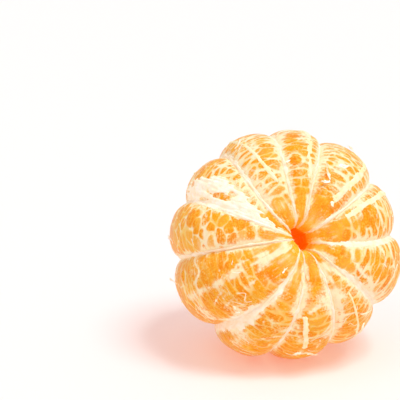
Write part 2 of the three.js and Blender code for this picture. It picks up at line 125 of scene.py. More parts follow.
# Patches of white film that stayed on the backs: place, radius in mm and strength. Where the
# strength is negative, the film came away and the bare sacs show.
FILM_SPOTS = [
    # first segment
    (22, 3, 5.0, 0.6), (22, 14, 4.0, 0.6), (26, 0, 5.0, 0.5), (27, 2, 5.0, 0.4), (31, 357, 4.0, 0.5),
    (32, 8, 4.0, 0.5), (38, 8, 4.0, 0.6), (40, 6, 4.0, 0.4), (46, 8, 3.2, 0.6), (93, 8, 3.0, -0.5),
    (98, 2, 4.0, -0.7),
    # second segment
    (-70, 20, 8.0, 0.7), (24, 30, 4.0, 0.5), (30, 26, 4.0, 0.5), (36, 46, 5.0, 0.5), (50, 38, 4.0, 0.2),
    (56, 30.6, 2.2, 0.9), (56, 55, 3.0, -0.4), (60, 31, 2.4, 1.2), (66, 34, 3.5, 0.5),
    (66, 55, 3.0, -0.6), (80, 38, 3.0, 0.6), (104, 40, 4.5, -0.7), (140, 45, 3.0, -0.6),
    # third segment
    (48, 72, 4.0, 0.4), (70, 60, 3.0, 0.5), (74, 70, 4.0, 0.5), (76, 68, 2.5, 0.5), (77, 61, 2.5, 0.6),
    (80, 67, 3.0, 0.4), (82, 61, 2.5, -0.8), (88, 80, 3.0, 0.4), (100, 88, 4.5, -0.8),
    (104, 72, 3.0, -0.5), (108, 72, 3.5, 0.6), (127, 65, 3.0, -0.5),
    # fourth segment
    (-70, 110, 8.0, 0.6), (26, 112, 3.5, 0.6), (44, 108, 4.0, 0.5), (64, 118, 3.0, 0.4),
    (65, 99, 3.0, 0.3), (76, 98, 3.0, 0.5), (76, 112, 4.0, 0.4), (82, 96, 3.0, 0.6),
    (88, 100, 3.0, 0.7), (95, 124, 4.0, -0.8), (127, 97, 3.0, -0.4), (134, 110, 3.0, -0.5),
    (144, 124, 3.0, -0.6),
    # fifth segment
    (42, 137, 4.0, 0.5), (54, 156, 3.0, 0.5), (60, 130, 4.0, 0.6), (66, 160, 3.0, 0.5),
    (69, 150, 3.0, 0.6), (75, 156, 3.0, 0.5), (76, 150, 3.0, 0.5), (84, 154, 2.0, -0.8),
    (134, 140, 3.0, -0.6),
    # sixth segment
    (30, 178, 3.0, 1.1), (36, 172, 3.0, 0.6), (40, 190, 3.5, -0.6), (45, 167, 4.0, 0.6),
    (48, 180, 3.5, 0.6), (50, 192, 2.5, -0.6), (53, 190, 3.0, -0.7), (57, 171, 3.2, -1.0),
    (62, 180, 3.0, -0.4), (62, 192, 3.0, -0.5), (76, 166, 3.0, 0.5), (84, 176, 4.0, 0.7),
    (98, 178, 4.0, -0.5), (118, 172, 3.0, -0.4), (123, 163, 3.0, -0.4), (130, 165, 3.0, -0.8),
    (132, 185, 3.0, -0.6),
    # seventh segment
    (-70, 200, 8.0, 0.7), (24, 212, 4.0, 0.6), (34, 211, 4.0, 0.7), (36, 219, 4.0, 0.9),
    (51, 214, 3.5, 0.4), (58, 206, 3.0, 0.4), (63, 193, 2.5, -0.8), (67, 197, 2.5, -0.7),
    (68, 214, 3.2, 0.7), (104, 205, 3.5, -0.5), (114, 213, 3.0, -0.4),
    # eighth segment
    (20, 248, 4.0, 0.4), (28, 230, 4.0, 0.6), (28, 236, 5.0, 0.5), (30, 264, 4.0, -0.5),
    (34, 250, 6.0, 0.30), (34, 252, 5.0, 0.4), (35, 233, 4.0, -0.5), (44, 263, 2.0, -1.2),
    (50, 222, 4.6, 1.2), (50, 240, 6.0, 0.35), (53, 262, 2.0, -1.2), (60, 236, 4.0, -0.8),
    (61, 262, 2.0, -1.2), (66, 236, 5.0, 0.35), (76, 240, 6.0, 0.4), (92, 246, 5.0, 0.4),
    (94, 235, 3.0, -0.3), (100, 236, 4.0, 0.4), (118, 236, 3.0, 0.7), (124, 222, 2.0, 0.5),
    # ninth segment
    (-70, 290, 8.0, 0.6), (8, 275, 5.0, -0.8), (14, 272, 4.0, -0.6), (16, 269, 4.0, -0.6),
    (22, 270, 4.0, -0.6), (24, 286, 3.0, -0.5), (28, 275, 4.0, -0.7), (35, 287, 2.6, -0.8),
    (36, 268, 3.5, -0.6), (38, 280, 4.0, -0.6), (39, 268, 3.0, -0.6), (42, 275, 3.0, -0.4),
    (60, 284, 3.0, -0.8), (60, 286, 2.5, -0.8), (62, 276, 3.5, 0.5), (68, 289, 2.5, -1.0),
    (70, 284, 3.0, -0.6), (72, 280, 3.0, 0.4), (75, 290, 2.5, -1.0), (92, 278, 4.0, 0.1),
    # tenth segment
    (8, 300, 5.0, 1.0), (14, 316, 5.0, 0.6), (30, 300, 6.0, 1.2), (32, 318, 5.0, 0.5),
    (60, 300, 7.0, 1.3), (72, 318, 5.0, 0.4), (96, 304, 3.5, -0.9),
    # eleventh segment
    (22, 340, 5.0, 0.6), (30, 350, 4.0, 0.6), (40, 352, 4.0, 0.3), (42, 337, 4.0, 0.6),
    (46, 340, 4.0, 0.4), (46, 352, 3.0, 0.5), (50, 333, 3.0, 0.5), (78, 332, 4.0, 0.3),
    (84, 352, 4.0, -0.5), (92, 345, 3.5, -0.5),
]

# White veins in the film, where it stayed on along a fold: half width in mm, strength, places.
FILM_VEINS = [
    # second segment
    (0.30, 0.8, [[30, 23], [33, 32], [31, 41]]),
    (0.34, 0.8, [[45, 21], [49, 30], [46, 38]]),
    (0.30, 0.8, [[61, 19], [66, 28], [68, 37]]),
    (0.28, 0.8, [[61, 21], [52, 23], [43, 28], [39, 33], [43, 37]]),
    (0.28, 0.7, [[78, 35], [78, 41], [68, 41], [60, 39]]),
    # third segment
    (0.28, 0.8, [[36, 66], [36, 77], [35, 88]]),
    (0.28, 0.8, [[48, 69], [46, 79], [46, 88]]),
    (0.28, 0.8, [[56, 60], [58, 69], [63, 77]]),
    (0.30, 0.8, [[60, 68], [58, 78], [55, 87]]),
    (0.28, 0.8, [[76, 54], [76, 61], [70, 65]]),
    # fourth segment
    (0.30, 1.0, [[54, 96], [50, 104], [44, 110], [38, 115]]),
    (0.32, 0.8, [[62, 100], [58, 108], [58, 115], [58, 124], [57, 131]]),
    (0.26, 0.6, [[72, 99], [70, 106], [67, 114]]),
    (0.60, 1.0, [[88, 110], [83, 118], [74, 123], [65, 124], [56, 129]]),
    # fifth segment
    (0.28, 0.9, [[58, 159], [57, 152], [54, 146], [46, 141]]),
    (0.50, 0.7, [[90, 149], [74, 152], [60, 154], [47, 157]]),
    (0.70, 0.65, [[112, 144], [96, 141], [84, 137], [72, 133], [58, 131]]),
    # sixth segment
    (0.32, 0.9, [[31, 189], [28, 181], [30, 173]]),
    (0.30, 0.7, [[46, 176], [50, 170], [53, 165]]),
    (0.50, 0.9, [[69, 178], [73, 172], [77, 166]]),
    (0.60, 0.8, [[94, 184], [78, 184], [66, 188]]),
    # seventh segment
    (0.28, 0.9, [[21, 216], [20, 208], [23, 200]]),
    (0.30, 0.7, [[48, 194], [46, 200], [40, 207]]),
    (0.45, 1.0, [[62, 211], [52, 214], [42, 217], [32, 219]]),
    # eighth segment
    (0.42, 1.0, [[0, 262], [6, 248], [16, 236], [28, 227], [36, 222]]),
    (0.28, 0.8, [[16, 259], [7, 254], [10, 250], [22, 251]]),
    (1.00, 0.75, [[20, 244], [42, 245], [53, 245], [64, 246], [74, 250]]),
    (0.30, 0.6, [[24, 236], [34, 233], [44, 237], [54, 240]]),
    (0.28, 0.8, [[35, 262], [41, 255], [35, 250]]),
    (0.30, 0.5, [[46, 231], [62, 233], [78, 233]]),
    (0.34, 0.5, [[50, 236], [66, 238], [80, 238], [92, 240]]),
    (0.34, 0.5, [[60, 243], [74, 246], [88, 246]]),
    (0.30, 0.5, [[70, 251], [84, 252], [98, 250]]),
    (0.40, 0.5, [[120, 240], [106, 243], [92, 246], [80, 246]]),
    # ninth segment
    (0.26, 0.8, [[24, 279], [20, 284], [24, 288], [33, 290], [43, 289.4], [49, 286], [51, 281]]),
    (0.20, 0.6, [[30, 287], [36, 287.5], [43, 285.5]]),
    (0.65, 0.6, [[46, 287], [49, 279], [51, 271]]),
    # tenth segment
    (0.34, 0.9, [[8, 318], [20, 314], [34, 317], [50, 320]]),
    (0.30, 0.8, [[58, 323], [66, 318], [75, 317]]),
    # eleventh segment
    (0.30, 0.9, [[22, 328], [24, 340], [22, 350]]),
    (0.30, 0.9, [[31, 328], [33, 336], [33, 350]]),
    (0.34, 0.9, [[40, 327], [38, 334], [40, 342], [45, 350]]),
    (0.30, 0.8, [[57, 337], [60, 343], [58, 349]]),
    (0.30, 0.8, [[60, 326], [65, 331], [66, 335]]),
    (0.30, 0.8, [[70, 340], [73, 345], [70, 350]]),
    # specks on the other segments: these lines run nearly right round, so their points lie far apart
    (0.30, 0.9, [[19, 354], [21, 2], [19, 10]]),
    (0.30, 0.8, [[27, 354], [30, 2], [28, 11]]),
    (0.30, 0.9, [[34, 354], [36, 0], [34, 8]]),
    (0.34, 0.9, [[41, 353], [45, 358], [42, 3], [39, 9]]),
    (0.30, 0.8, [[55, 352], [58, 357], [55, 3]]),
    (0.28, 0.7, [[72, 352], [75, 358], [72, 6]]),
]
VEIN_POINTS = 36                             # a vein is drawn as so many points
VEINS_A_SEGMENT = 7                          # more of them, strewn over each back's stem half

JUICE_DEEP, JUICE_CLEAR = (0.82, 0.215, 0.001), (0.86, 0.38, 0.005)
MEMBRANE, HAZE, FILM = (0.88, 0.60, 0.19), (0.87, 0.49, 0.06), (0.90, 0.785, 0.53)
HAZE_MOST = 0.9                              # how thick the haze gets in its patches
DAMP, FILM_DRIER, FAT_WETTER, WETTEST = 0.34, 0.3, 0.6, 0.12   # roughness, and what changes it
# Painted glow: the red is the heart's base colour and its glow, and the orange is the glow at the core's
# rim and, faintly, over all the flesh. Both stand in for light that passes through the flesh.
HEART_PAINTED_RED, ORANGE_GLOW = (1.0, 0.10, 0.0), (1.0, 0.36, 0.01)
HEART_TOP, HEART_BOTTOM = 12.6, -11.5        # heights along the core between which the heart glows
HEART_WALL = (6.5, 5.5)                      # radii where a segment's flank turns into the heart
MOUTH_WALL, MOUTH_FROM = (7.0, 3.5), (8, 12)   # the core's rim: its radii, and where it starts
HEART_GLOW, RIM_GLOW, FLESH_GLOW = 0.85, 0.30, 0.09   # light through: the core, its rim, all over


def fruit_point(radius, angle, height):
    """A point at a distance from the core, an angle clockwise from the top and a height along it."""
    radius, turn, height = np.broadcast_arrays(radius, np.radians(angle), height)
    return np.stack([radius * np.sin(turn), radius * np.cos(turn), height], axis=-1)


def groove_angle(index, radius):
    """Angle of the groove before a segment: it swings evenly from core angle to rim angle."""
    turns, place = np.divmod(index, COUNT)
    share = np.clip((radius - GROOVE_CORE_RADIUS) / (GROOVE_RIM_RADIUS - GROOVE_CORE_RADIUS), 0, 1)
    return CORE[place] + (RIM[place] - CORE[place]) * share + 360 * turns


def spread(index, radius):
    """Middle angle of a segment at a radius, and the half angle to its wall, half a gap short."""
    before, after = groove_angle(index, radius), groove_angle(index + 1, radius)
    return (before + after) / 2, (after - before) / 2 - np.degrees(SEGMENT_GAP / 2 / radius)


def side_view(index, around):
    """Radius and height of a back's middle line: superellipse quarters that meet at the crests."""
    place = index % COUNT
    x, y = np.cos(np.radians(around)), np.sin(np.radians(around))
    roundness = np.where(x > 0, BACK_ROUNDNESS, NOSE_ROUNDNESS)
    depth = np.where(x > 0, REACH[place] - CREST_RADIUS, CREST_RADIUS - NOSE[place])
    rise = RISE[place] * np.where(y > 0, 1, FAR_END_SHARE)
    share = (np.abs(x) ** roundness + np.abs(y) ** roundness) ** (-1 / roundness)
    return CREST_RADIUS + depth * share * x, rise * share * y


def segment_point(index, around, across, out=1.0):
    """A point of a segment: round its side view, from wall (-1) to wall (1), heart (0) to back (1).

    The back falls by half its width times a crown (across squared) and a shoulder (a superellipse).
    """
    radius, height = side_view(index, around)
    half_width = radius * np.radians(spread(index, radius)[1])
    shoulder = 1 - (1 - np.abs(across) ** SHOULDER_ROUNDNESS) ** (1 / SHOULDER_ROUNDNESS)
    drop = half_width * (BACK_CROWN * across ** 2 + SHOULDER_DROP * shoulder)
    share = out * (1 - drop / np.hypot(radius - CREST_RADIUS, height))
    radius = CREST_RADIUS + (radius - CREST_RADIUS) * share
    middle, half = spread(index, radius)
    return fruit_point(radius, middle + half * across, height * share)


def from_core(points):
    """Distance of points from the core's axis."""
    return np.hypot(points[..., 0], points[..., 1])


def on_backs(around, angle, bridge=0.5):
    """The place on the backs at an angle round the core, with each groove bridged over.

    Within the bridge's width of a side wall the height is held, and shared with the neighbour's.
    The segment depends on the radius, and the radius on the segment, so four rounds settle both.
    """
    around, angle = np.broadcast_arrays(np.asarray(around, float), np.asarray(angle, float))
    radius = side_view(np.zeros(around.shape, int), around)[0]
    for _ in range(4):
        index = sum((angle >= groove_angle(k, radius)).astype(int) for k in range(-1, COUNT + 2)) - 2
        middle, half = spread(index, radius)
        half_width = radius * np.radians(half)
        across = (angle - middle) / half
        side = np.where(across < 0, -1, 1)
        limit = 1 - bridge / half_width
        own = segment_point(index, around, np.clip(across, -limit, limit))
        other = segment_point(index + side, around, -side * limit)
        share = 0.5 + 0.5 * np.clip(half_width * (1 - np.abs(across)) / bridge, 0, 1)
        radius = share * from_core(own) + (1 - share) * from_core(other)
    return fruit_point(radius, angle, share * own[..., 2] + (1 - share) * other[..., 2])


def to_part(points):
    """Fruit points in mm to the part's frame in metres: a turn about x, then the middle's place."""
    x, y, z = np.moveaxis(points, -1, 0)
    tilt = np.pi / 2 - AXIS_TILT
    turned = [x, y * np.cos(tilt) - z * np.sin(tilt), y * np.sin(tilt) + z * np.cos(tilt)]
    return (np.stack(turned, axis=-1) + MIDDLE) * 0.001


def keep_above(points, clearance):
    """Points lower than a height over the table are pressed straight up to it."""
    down = np.array([0, -np.cos(AXIS_TILT), -np.sin(AXIS_TILT)])
    below = np.maximum(points @ down - MIDDLE[2] + clearance, 0)
    return points - below[..., None] * down


def noise(points, size, seed):
    """Smooth noise from -1 to 1: random numbers on a cubic lattice, eased between its corners."""
    lattice = np.random.default_rng(seed).uniform(-1, 1, (32, 32, 32))
    place = points / size
    corner = np.floor(place).astype(int)
    ease = place - corner
    ease = ease * ease * (3 - 2 * ease)
    total = np.zeros(points.shape[:-1])
    for step in np.ndindex(2, 2, 2):
        weight = np.prod(np.where(step, ease, 1 - ease), axis=-1)
        total += weight * lattice[tuple(np.moveaxis((corner + step) % 32, -1, 0))]
    return total


def flat_noise(x, y, seed):
    """Smooth noise on a plane, with grains of one unit in x and in y."""
    x, y = np.broadcast_arrays(x, y)
    return noise(np.stack([x, y, 0 * x], axis=-1), 1.0, seed)


def layered(points, layers):
    """The sum of some layers of noise."""
    return sum(amount * noise(points, size, seed) for amount, size, seed in layers)


def smooth(low, high, value):
    """0 below low, 1 above high, and an eased step between them."""
    share = np.clip((value - low) / (high - low), 0, 1)
    return share * share * (3 - 2 * share)


def skin_object(name, skins, material, slot, **attributes):
    """Closed skins as one mesh object. A skin is rings of points, each end drawn to its middle.

    Quads join each ring to the next, and a fan of triangles closes each end. An attribute is one
    array of numbers for each skin.
    """
    points, faces, start = [], [], 0
    for rings in skins:
        count = rings.shape[1]
        k = np.arange(count)
        following = (k + 1) % count
        first = 1 + count * np.arange(len(rings) - 1)[:, None]
        sides = [first + k, first + following, first + count + following, first + count + k]
        last = 1 + count * len(rings)
        faces += (start + np.stack(sides, axis=-1).reshape(-1, 4)).tolist()
        faces += (start + np.stack([0 * k, 1 + following, 1 + k], axis=-1)).tolist()
        faces += (start + last - np.stack([0 * k, count - k, count - following], axis=-1)).tolist()
        points += [rings[0].mean(axis=0)[None], rings.reshape(-1, 3), rings[-1].mean(axis=0)[None]]
        start += last + 1
    mesh = bpy.data.meshes.new(name)
    mesh.from_pydata(to_part(np.concatenate(points)), [], faces)
    mesh.shade_smooth()
    mesh.materials.append(material)
    for key, values in attributes.items():
        padded = [part for grid in values for part in ([grid[0].mean()], grid.ravel(), [grid[-1].mean()])]
        layer = mesh.attributes.new(key, "FLOAT", "POINT")
        layer.data.foreach_set("value", np.concatenate(padded).astype(np.float32))
    piece = bpy.data.objects.new(name, mesh)
    bpy.context.scene.collection.objects.link(piece)
    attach(piece, "root")
    return piece


def even_rounds(index):
    """Places round a segment's side view, in degrees, spaced evenly along its middle line."""
    fine = np.linspace(-90, 270, 3601)
    radius, height = side_view(index, fine)
    length = np.concatenate([[0], np.cumsum(np.hypot(np.diff(radius), np.diff(height)))])
    crest = np.interp(90, fine, length)
    outer = np.linspace(0, crest, OUTER_STEPS, endpoint=False)
    inner = crest + (length[-1] - crest) * np.linspace(0, 1, INNER_STEPS, endpoint=False) ** 1.5
    along = np.concatenate([outer, inner])
    return np.interp(along, length, fine), along


def sac_cells(index, aside, along):
    """The juice sacs seen through a back, as a jittered brick pattern of Voronoi cells.

    Rows lie across the back. Distances are shortened across it, so cells are wider than they are
    long. Cells with no sample of the back close by are dropped. Returns each place's distance to
    its cell's border in mm, with corners rounded by a soft minimum, and two random tones per cell.
    """
    draw = np.random.default_rng(400 + index)
    long_side, short_side = SAC_LENGTH[index], SAC_WIDTH[index]
    rows = np.arange(along.min(), along.max(), short_side)
    reach = np.abs(aside).max() + long_side
    row, column = np.meshgrid(rows, np.arange(-reach, reach, long_side), indexing="ij")
    column = column + long_side / 2 * (np.arange(len(rows)) % 2)[:, None]
    column = column + draw.uniform(-SAC_JITTER_ACROSS, SAC_JITTER_ACROSS, column.shape) * long_side
    row = row + draw.uniform(-SAC_JITTER_ALONG, SAC_JITTER_ALONG, row.shape) * short_side
    middles = np.stack([column.ravel(), row.ravel()], axis=1)
    squash = np.array([short_side / long_side, 1.0])
    places = np.stack([aside.ravel(), along.ravel()], axis=1)
    sampled = places[::37]
    off = np.linalg.norm((middles[:, None] - sampled[None]) * squash, axis=-1).min(axis=1)
    middles = middles[off < 2 * short_side]
    gaps = (((places[:, None] - middles[None]) * squash) ** 2).sum(axis=-1)
    nearest = gaps.argmin(axis=1)
    here = np.arange(len(places))
    slopes = 2 * np.linalg.norm((middles[:, None] - middles[None]) * squash ** 2, axis=-1)
    np.fill_diagonal(slopes, np.inf)
    border = (gaps - gaps[here, nearest][:, None]) / slopes[nearest]
    border[here, nearest] = np.inf
    edge = np.maximum(-np.log(np.exp(-SAC_SHARPNESS * border).sum(axis=1)) / SAC_SHARPNESS, 0)
    tones = draw.uniform(0, 1, (2, len(middles)))[:, nearest]
    return [grid.reshape(aside.shape) for grid in (edge, *tones)]


def outward_normals(points):
    """Unit normals of a grid of points whose second axis closes on itself."""
    over = np.gradient(points, axis=0)
    onward = np.roll(points, -1, axis=1) - np.roll(points, 1, axis=1)
    normal = np.cross(onward, over)
    return normal / np.maximum(np.linalg.norm(normal, axis=-1, keepdims=True), 1e-9)


def spots(points, places):
    """Sum of round eased spots, each a place, a radius in mm and a strength, and their rims.

    The rim of a spot is strongest at its radius. Distances are measured straight from its place,
    and spots more than an eighth of a turn round the core from the points' middle are passed over.
    """
    inside, rim = np.zeros(points.shape[:-1]), np.zeros(points.shape[:-1])
    ahead = points[..., :2].mean(axis=(0, 1))
    for around, angle, radius, strength in places:
        middle = on_backs(around, angle)
        if middle[:2] @ ahead > SPOT_TURN * from_core(middle) * from_core(ahead):
            away = np.linalg.norm(points - middle, axis=-1) / radius
            inside += strength * smooth(1, 0.15, away)
            rim += strength * np.exp(-((away - 1.0) / 0.16) ** 2)
    return inside, rim


def smooth_line(stops, count):
    """A smooth line through stops: cubic pieces that pass each stop along its neighbours' chord."""
    stops = np.array(stops, float)
    padded = np.concatenate([2 * stops[:1] - stops[1:2], stops, 2 * stops[-1:] - stops[-2:-1]])
    place = np.linspace(0, len(stops) - 1, count)
    piece = np.minimum(place.astype(int), len(stops) - 2)
    t = (place - piece)[:, None]
    a, b, c, d = (padded[piece + k] for k in range(4))
    curve = (2 * a - 5 * b + 4 * c - d) * t ** 2 + (3 * b - a - 3 * c + d) * t ** 3
    return 0.5 * (2 * b + (c - a) * t + curve)


def strewn_veins(index):
    """Short veins that arch over a segment's stem half, each by a draw of its own."""
    draw = np.random.default_rng(800 + index)
    middle = spread(index, GROOVE_RIM_RADIUS)[0]
    veins = []
    for around in draw.uniform(-80, 25, VEINS_A_SEGMENT):
        bends = around + draw.uniform(-5, 5, 4)
        turns = middle + draw.uniform(12, 17) * np.linspace(-1, 1, 4)
        wide, strength = draw.uniform(0.24, 0.36), draw.uniform(0.5, 0.9)
        veins.append((wide, strength, np.stack([bends, turns], axis=1)))
    return veins


def near_veins(index, points):
    """Film of the veins by a segment: each fades with the square of the distance from its line.

    Veins that lie more than a quarter of a turn away are passed over.
    """
    middle = spread(index, GROOVE_RIM_RADIUS)[0]
    film = np.zeros(points.shape[:-1])
    for wide, strength, stops in FILM_VEINS + strewn_veins(index):
        if np.cos(np.radians(np.mean(stops, axis=0)[1] - middle)) > 0:
            line = on_backs(*smooth_line(stops, VEIN_POINTS).T)
            away = np.linalg.norm(points[..., None, :] - line, axis=-1).min(axis=-1)
            film += strength * np.exp(-(away / wide) ** 2)
    return film


def film_amount(points, from_wall):
    """How much white pith clings to a back: most by the grooves, and in patches with noisy edges."""
    broad = np.clip(0.1 * from_core(points), 0.25, 1.0)
    torn = 0.85 + layered(points, TORN)
    by_groove = torn * np.exp(-(from_wall / broad) ** 2)
    by_groove += GROOVE_FILM * broad * np.exp(-from_wall / GROOVE_FADE)
    patches = 0.12 + layered(points, PATCHES)
    return by_groove + patches + spots(points, FILM_SPOTS)[0] * (0.55 + layered(points, RAGGED))


def core_marks(points):
    """How much a point belongs to the heart inside the core, where a red glow is painted, and to the rim
    of its mouth, where an orange glow is painted.
    """
    radius, height = from_core(points), points[..., 2]
    heart = smooth(*HEART_WALL, radius) * smooth(HEART_TOP + 1.2, HEART_TOP - 1.2, height)
    heart = heart * smooth(HEART_BOTTOM - 1.5, HEART_BOTTOM + 1.5, height)
    return heart, smooth(*MOUTH_WALL, radius) * smooth(*MOUTH_FROM, height)


def segment_grid(index):
    """A segment's rings, and what its finish reads at each point.

    The grid goes down one wall, over the back and down the other. It is raised by the sacs'
    relief: a round shoulder up from each border, higher on some sacs than on others, and single
    fat ones. By the core the sacs blur into streaks, and toward the stem end they are redder.
    """
    rounds, along = even_rounds(index)
    down = np.arange(1, WALL_STEPS) / WALL_STEPS
    turn = np.radians(np.linspace(-BACK_BUNCHING, BACK_BUNCHING, BACK_STEPS + 1))
    over = np.sin(turn) / np.sin(turn[-1])
    across = np.concatenate([0 * down - 1, over, 0 * down + 1])[:, None]
    out = np.concatenate([down, 0 * over + 1, down[::-1]])[:, None]
    points = segment_point(index, rounds[None], across, out)
    radius, height = side_view(index, rounds)[0] + 0 * across, points[..., 2]
    half_angle = np.radians(spread(index, radius)[1])
    aside = across * radius * half_angle + np.sign(across) * (1 - out) * CREST_RADIUS
    along = along + 0 * aside

    grown = along - FAR_SHRINK * np.minimum(along - np.interp(FAR_FROM, rounds, along[0]), 0)
    edge, tone, milk = sac_cells(
        index, aside + layered(points, ASIDE_WANDER), grown + layered(points, ALONG_WANDER))
    fat, rim = spots(points, FAT_SACS)
    swell = np.sqrt(1 - (1 - np.clip(edge / SAC_SHOULDER, 0, 1)) ** 2)
    relief = SAC_BULGE * (SAC_LOWEST + SAC_SPREAD * tone) * (swell - 0.5) + layered(points, SWELLS)
    relief += np.minimum(fat, FAT_HEIGHT) - DIMPLE_DEPTH * np.minimum(rim, DIMPLE_MOST)
    relief *= smooth(1.0, WALL_FADE, np.abs(across)) * (out == 1)

    from_border = edge + layered(points, BORDER_WANDER)
    crisp = np.clip(CRISP[index] + layered(points, CRISP_WANDER), 0.2, 1)
    clear = smooth(0.0, SAC_BORDER, from_border) * (1 - SAC_MILK * smooth(0.66, 0.95, milk))
    clear = 1 - crisp * (1 - clear)
    front = smooth(FRONT_FROM, FRONT_FULL, radius / STREAKS[index]) * (rounds > FRONT_PLACE)
    mottled = 0.72 + layered(points, FRONT_MOTTLE)
    juice = clear * (1 - front) + mottled * front + FAT_JUICE * fat - RIM_DRY * rim
    tone = tone * (1 - np.clip(2.2 * fat, 0, 1)) - DEEP_TONE * smooth(*DEEP_HEIGHTS, height)

    film = film_amount(points, from_core(points) * half_angle * (1 - np.abs(across)))
    film += near_veins(index, points) * (0.8 + layered(points, BROKEN))
    film += front * FRONT_FILM * smooth(3.5, 6.5, radius)
    film += front * FRONT_STREAKS * flat_noise(aside / STREAK_WIDE, along / STREAK_LONG, 27)
    lace = LACE * max(CRISP[index] - LACE_FROM, 0) * smooth(SAC_BORDER, 0.06, from_border)
    film += RIM_FILM * rim - FAT_BARE * fat + lace * (1 - front)

    heart, mouth = core_marks(points)
    finish = {"juice": np.clip(juice, 0, 1), "sac_tone": tone, "film": np.clip(film, 0, 1.5),
              "wet": fat, "front": front, "aside": aside, "along": along, "heart": heart,
              "mouth": mouth}
    raised = points + outward_normals(points) * relief[..., None]
    return keep_above(raised, 0.0), finish


class Look:
    """A material, and short ways to make its nodes. A value is a socket, a number or a colour."""

    def __init__(self, name):
        self.material = bpy.data.materials.new(name)
        self.material.use_nodes = True
        self.tree = self.material.node_tree
        self.place = self.node("TexCoord", "Object")

    def feed(self, socket, value):
        """Join a socket to another, or set it to a number or a colour."""
        if isinstance(value, bpy.types.NodeSocket):
            self.tree.links.new(value, socket)
        else:
            socket.default_value = (*value, 1) if socket.type == "RGBA" else value

    def node(self, kind, output, values=(), **settings):
        """One node, with its settings and a value for each of some inputs. Returns one output."""
        node = self.tree.nodes.new("ShaderNode" + kind)
        for key, setting in settings.items():
            setattr(node, key, setting)
        for key, value in dict(values).items():
            self.feed(node.inputs[key], value)
        return node.outputs[output]

    def number(self, name):
        """One of the numbers that the mesh holds at each point."""
        return self.node("Attribute", "Fac", attribute_name=name)

    def mix(self, share, first, second):
        """A mix of two colours."""
        return self.node("Mix", 2, {0: share, 6: first, 7: second}, data_type="RGBA")

    def mix_numbers(self, share, first, second):
        """A mix of two numbers."""
        return self.node("Mix", 0, {0: share, 2: first, 3: second}, data_type="FLOAT")

    def maths(self, operation, *values):
        """One step of arithmetic."""
        return self.node("Math", 0, enumerate(values), operation=operation)

    def total(self, start, *parts):
        """A number plus some parts, each a value times a gain."""
        for value, gain in parts:
            start = self.maths("MULTIPLY_ADD", value, gain, start)
        return start

    def eased(self, value, low, high):
        """A value eased from 0 at low to 1 at high."""
        ends = {"Value": value, "From Min": low, "From Max": high}
        return self.node("MapRange", "Result", ends, interpolation_type="SMOOTHSTEP")

    def grains(self, size, detail=2.0):
        """Noise from 0 to 1, with grains of a size in mm."""
        return self.node("TexNoise", "Fac",
                         {"Vector": self.place, "Scale": 1000 / size, "Detail": detail})

    def drawn_out(self, aside, along, wide, long):
        """Noise from 0 to 1, with grains drawn out to a width and a length in mm over a back."""
        across, onward = self.maths("DIVIDE", aside, wide), self.maths("DIVIDE", along, long)
        place = self.node("CombineXYZ", "Vector", {"X": across, "Y": onward})
        return self.node("TexNoise", "Fac", {"Vector": place, "Scale": 1.0, "Detail": 2.5})

    def relief(self, height, strength, depth):
        """Fine relief from a height, too small for the mesh. Its depth is in mm."""
        return self.node("Bump", "Normal",
                         {"Height": height, "Strength": strength, "Distance": depth * 0.001})

    def finish(self, values):
        """Feed the shader's inputs by name, and return the material."""
        for key, value in values.items():
            self.feed(self.tree.nodes["Principled BSDF"].inputs[key], value)
        return self.material


def segment_finish():
    """Moist membrane over juice: orange sacs, paler borders, white film in patches, and a painted red
    glow in the core's heart.
    """
    look = Look("segment_membrane")
    juice, tone, film, wet, front, aside, along, heart, mouth = (
        look.number(name)
        for name in ("juice", "sac_tone", "film", "wet", "front", "aside", "along", "heart", "mouth"))
    soft, coarse, fine = (look.grains(size) for size in (5.0, 2.4, 0.5))
    # fibres lie across the back over the sacs, and along it by the core
    over_sac = look.drawn_out(aside, along, 1.9, 0.34)
    to_core = look.drawn_out(aside, along, 0.32, 2.8)
    fibre = look.mix_numbers(front, over_sac, to_core)
    # sacs between their borders, then haze in soft patches, then white film
    depth = look.total(-0.95, (fibre, 0.5), (tone, 0.6), (fine, 0.7), (coarse, 0.9))
    flesh = look.mix(depth, JUICE_DEEP, JUICE_CLEAR)
    grain = look.total(-1.2, (fine, 1.4), (fibre, 1.0))
    sac = look.eased(look.total(juice, (grain, 0.7)), 0.15, 0.85)
    skin = look.mix(sac, MEMBRANE, flesh)
    strewn = look.eased(look.total(soft, (grain, 1.2)), 0.2, 1.1)
    hazed = look.mix(look.maths("MULTIPLY", strewn, HAZE_MOST), skin, HAZE)
    white = look.eased(look.total(film, (sac, -0.30), (grain, 0.9)), 0.0, 0.95)
    filmed = look.mix(white, hazed, FILM)
    # Painted glow: the heart's base colour and emission are red, and an orange emission lies on the
    # core's rim and faintly over all the flesh.
    glow = look.total(FLESH_GLOW, (mouth, RIM_GLOW - FLESH_GLOW), (heart, HEART_GLOW - RIM_GLOW))
    matte = look.total(DAMP, (white, FILM_DRIER), (wet, -FAT_WETTER))
    return look.finish({
        "Base Color": look.mix(heart, filmed, HEART_PAINTED_RED),
        "Emission Color": look.mix(heart, ORANGE_GLOW, HEART_PAINTED_RED),
        "Emission Strength": glow,
        "Roughness": look.maths("MAXIMUM", matte, WETTEST),
        "Normal": look.relief(fine, 0.3, 0.2),
        "Subsurface Weight": 0.5,
        "Subsurface Radius": (1.0, 0.7, 0.4),
        "Subsurface Scale": 0.0004,
        "Specular IOR Level": 0.12,
        "Sheen Weight": 0.08,
        "Sheen Roughness": 0.35,
        "Sheen Tint": (1.0, 0.80, 0.42)})


membrane = segment_finish()
for index in range(COUNT):
    rings, finish = segment_grid(index)
    node = f"segment_{index + 1:02d}"
    finish = {key: [values] for key, values in finish.items()}
    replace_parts(skin_object(node + "_skin", [rings], membrane, "segment_membrane", **finish), node)

